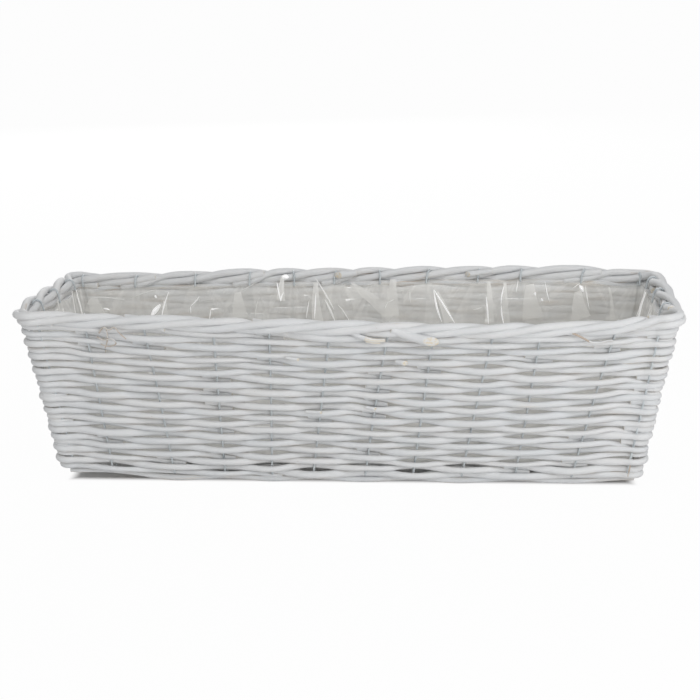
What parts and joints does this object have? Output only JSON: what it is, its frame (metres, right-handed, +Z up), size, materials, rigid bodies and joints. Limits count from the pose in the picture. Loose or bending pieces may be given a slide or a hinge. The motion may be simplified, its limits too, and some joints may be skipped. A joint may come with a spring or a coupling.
{
  "type": "wicker planter trough",
  "caption": "Long low trough woven from whitewashed willow rods on wire uprights, with flared walls, a twisted rim and a clear film liner, for plants or storage.",
  "frame": {"origin": "on the ground, under the middle of the trough", "axes": "+X along the trough to its right as seen from the front, -Y towards the front, +Z up"},
  "size_m": [0.601, 0.2006, 0.1698],
  "materials": {
    "wall_willow": "whitewashed willow, matt, with a little brown bark showing through",
    "rim_willow": "whitewashed willow, matt",
    "base_willow": "whitewashed willow, matt, less evenly covered",
    "galvanised_wire": "dull galvanised wire with thin whitewash on it",
    "clear_film": "thin clear film, creased"
  },
  "bodies": {
    "root": {"weaver_row_01": "wall_willow", "weaver_row_02": "wall_willow", "weaver_row_03": "wall_willow", "weaver_row_04": "wall_willow", "weaver_row_05": "wall_willow", "weaver_row_06": "wall_willow", "weaver_row_07": "wall_willow", "weaver_row_08": "wall_willow", "weaver_row_09": "wall_willow", "weaver_row_10": "wall_willow", "weaver_row_11": "wall_willow", "weaver_row_12": "wall_willow", "weaver_row_13": "wall_willow", "weaver_row_14": "wall_willow", "weaver_row_15": "wall_willow", "weaver_row_16": "wall_willow", "weaver_row_17": "wall_willow", "weaver_row_18": "wall_willow", "weaver_row_19": "wall_willow", "weaver_row_20": "wall_willow", "weaver_row_21": "wall_willow", "weaver_row_22": "wall_willow", "weaver_row_23": "wall_willow", "rim_strand_1": "rim_willow", "rim_strand_2": "rim_willow", "rim_strand_3": "rim_willow", "base_rod_01": "base_willow", "base_rod_02": "base_willow", "base_rod_03": "base_willow", "base_rod_04": "base_willow", "base_rod_05": "base_willow", "base_rod_06": "base_willow", "base_rod_07": "base_willow", "base_rod_08": "base_willow", "base_rod_09": "base_willow", "base_rod_10": "base_willow", "base_rod_11": "base_willow", "base_rod_12": "base_willow", "base_rod_13": "base_willow", "base_rod_14": "base_willow", "base_rod_15": "base_willow", "base_rod_16": "base_willow", "base_rod_17": "base_willow", "cross_wire_01": "galvanised_wire", "cross_wire_02": "galvanised_wire", "cross_wire_03": "galvanised_wire", "cross_wire_04": "galvanised_wire", "cross_wire_05": "galvanised_wire", "cross_wire_06": "galvanised_wire", "cross_wire_07": "galvanised_wire", "cross_wire_08": "galvanised_wire", "cross_wire_09": "galvanised_wire", "cross_wire_10": "galvanised_wire", "cross_wire_11": "galvanised_wire", "cross_wire_12": "galvanised_wire", "long_wire_1": "galvanised_wire", "long_wire_2": "galvanised_wire", "long_wire_3": "galvanised_wire", "film_liner": "clear_film"}
  },
  "joints": []
}
